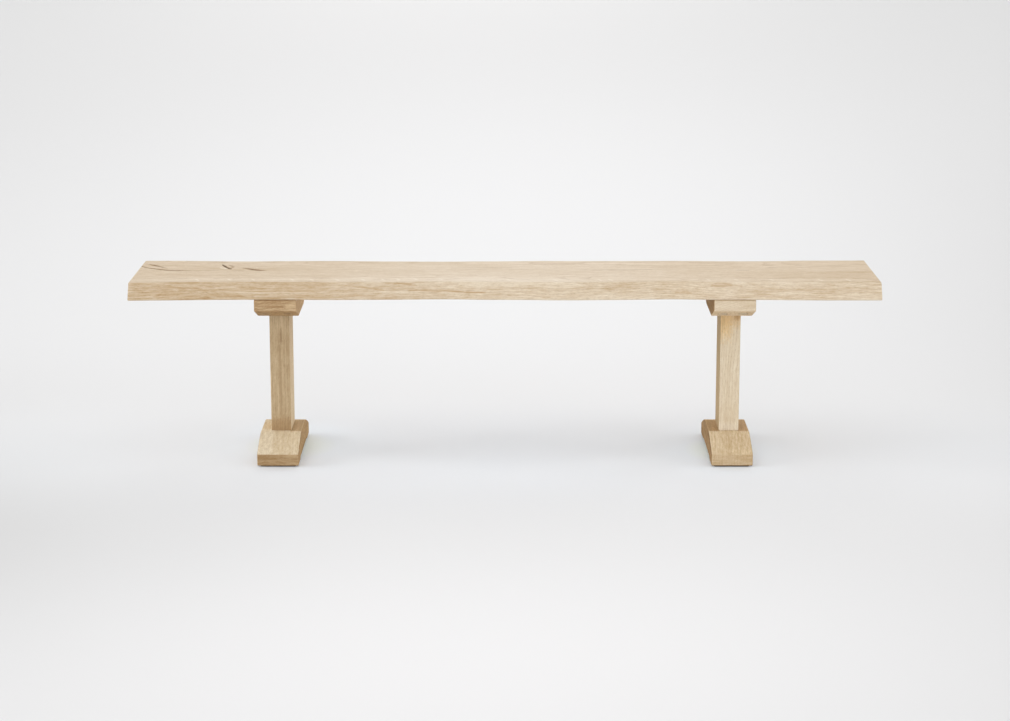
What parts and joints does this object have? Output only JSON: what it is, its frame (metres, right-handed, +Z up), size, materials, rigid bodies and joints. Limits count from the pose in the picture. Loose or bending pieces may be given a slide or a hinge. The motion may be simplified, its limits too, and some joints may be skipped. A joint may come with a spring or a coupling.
{
  "type": "dining bench",
  "caption": "Long trestle dining bench: a waney-edged solid wood seat on two board legs with arched feet, bolted from below.",
  "frame": {"origin": "on the floor, under the middle of the seat", "axes": "+X along the seat to the right as seen from the front, -Y towards the front, +Z up"},
  "size_m": [1.8, 0.3438, 0.452],
  "materials": {
    "seat_oak": "pale oiled oak, brushed matt",
    "left_leg_oak": "oiled oak, a darker board, matt",
    "right_leg_oak": "pale oiled oak, matt",
    "beech": "plain turned",
    "zinc_steel": "bright zinc plated",
    "brass": "plain turned",
    "felt": "dense brown felt"
  },
  "bodies": {
    "root": {"seat_plank_front": "seat_oak", "seat_plank_rear": "seat_oak", "seat_dowel_1": "beech", "seat_dowel_2": "beech", "seat_dowel_3": "beech", "seat_dowel_4": "beech", "seat_dowel_5": "beech", "left_foot": "left_leg_oak", "left_post": "left_leg_oak", "left_bearer": "left_leg_oak", "left_glide_front": "felt", "left_glide_rear": "felt", "left_seat_bolt_1": "zinc_steel", "left_seat_bolt_2": "zinc_steel", "left_seat_bolt_3": "zinc_steel", "left_seat_bolt_4": "zinc_steel", "left_washer_1": "zinc_steel", "left_washer_2": "zinc_steel", "left_washer_3": "zinc_steel", "left_washer_4": "zinc_steel", "left_insert_1": "brass", "left_insert_2": "brass", "left_insert_3": "brass", "left_insert_4": "brass", "right_foot": "right_leg_oak", "right_post": "right_leg_oak", "right_bearer": "right_leg_oak", "right_glide_front": "felt", "right_glide_rear": "felt", "right_seat_bolt_1": "zinc_steel", "right_seat_bolt_2": "zinc_steel", "right_seat_bolt_3": "zinc_steel", "right_seat_bolt_4": "zinc_steel", "right_washer_1": "zinc_steel", "right_washer_2": "zinc_steel", "right_washer_3": "zinc_steel", "right_washer_4": "zinc_steel", "right_insert_1": "brass", "right_insert_2": "brass", "right_insert_3": "brass", "right_insert_4": "brass"}
  },
  "joints": []
}
